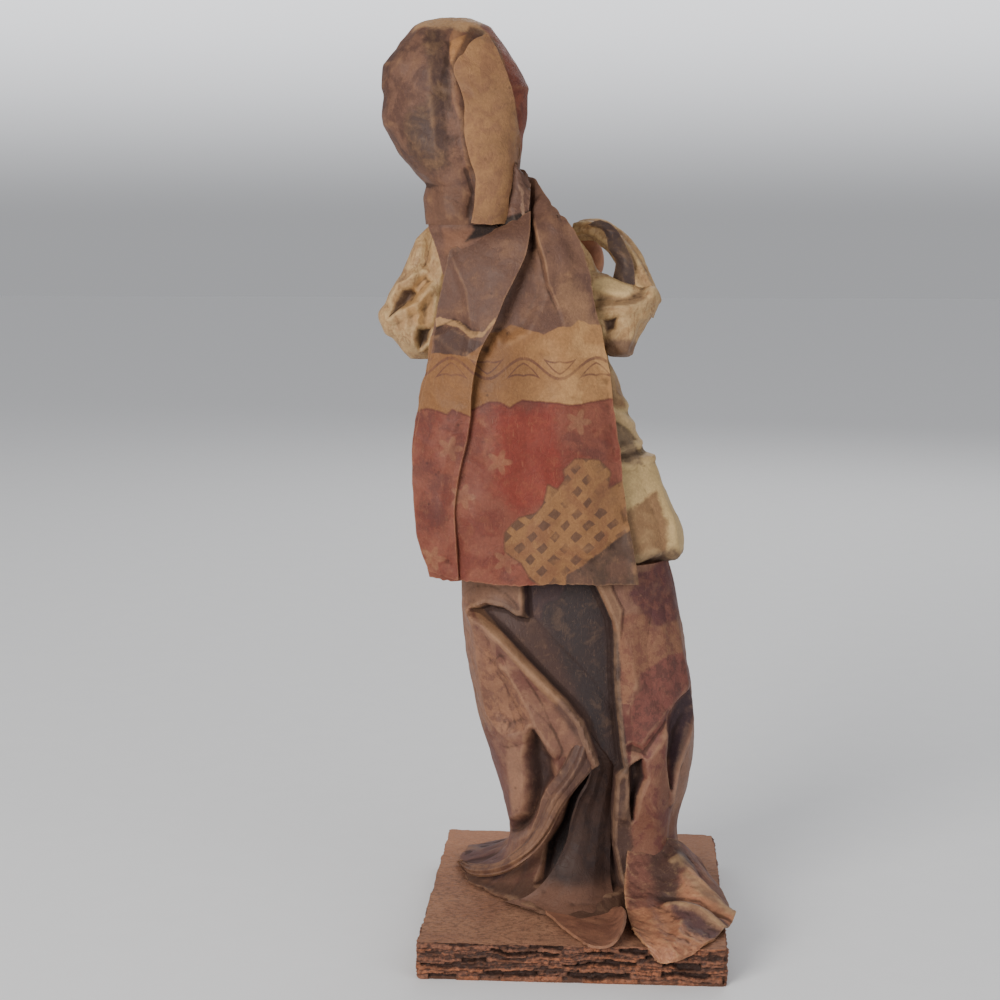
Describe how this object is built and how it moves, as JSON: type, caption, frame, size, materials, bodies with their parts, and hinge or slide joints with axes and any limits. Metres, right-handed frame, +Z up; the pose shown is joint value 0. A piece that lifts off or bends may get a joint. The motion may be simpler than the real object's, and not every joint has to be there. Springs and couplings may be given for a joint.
{
  "type": "papier-mache figure",
  "caption": "Veiled woman in folded, stiffened paper robes, leaning as she holds her hands before her, on a rectangular chipboard base.",
  "frame": {"origin": "middle of the base's underside", "axes": "+Z up, +Y the way the figure faces, +X to the figure's right hand"},
  "size_m": [0.1526, 0.16, 0.3899],
  "materials": {
    "chipboard": "rough reddish-brown chipboard, its chips showing at the sawn edges",
    "skirt_paper": "printed paper stiffened with glue and varnished brown, satin",
    "tunic_paper": "crumpled cream and tan paper, varnished, satin",
    "printed_paper": "printed paper in mauve, tan and brick red, varnished, satin",
    "sleeve_paper": "finely crumpled cream paper, stained tan, satin",
    "hood_paper": "mottled mauve-brown and tan paper, varnished, satin",
    "painted_skin": "papier-mache painted orange-brown and varnished, semi-gloss"
  },
  "bodies": {
    "root": {"chipboard_base": "chipboard", "skirt": "skirt_paper", "tunic": "tunic_paper", "back_panel": "printed_paper", "left_sleeve": "sleeve_paper", "right_sleeve": "sleeve_paper", "hood": "hood_paper", "head": "painted_skin", "left_hand": "painted_skin", "right_hand": "painted_skin"}
  },
  "joints": []
}
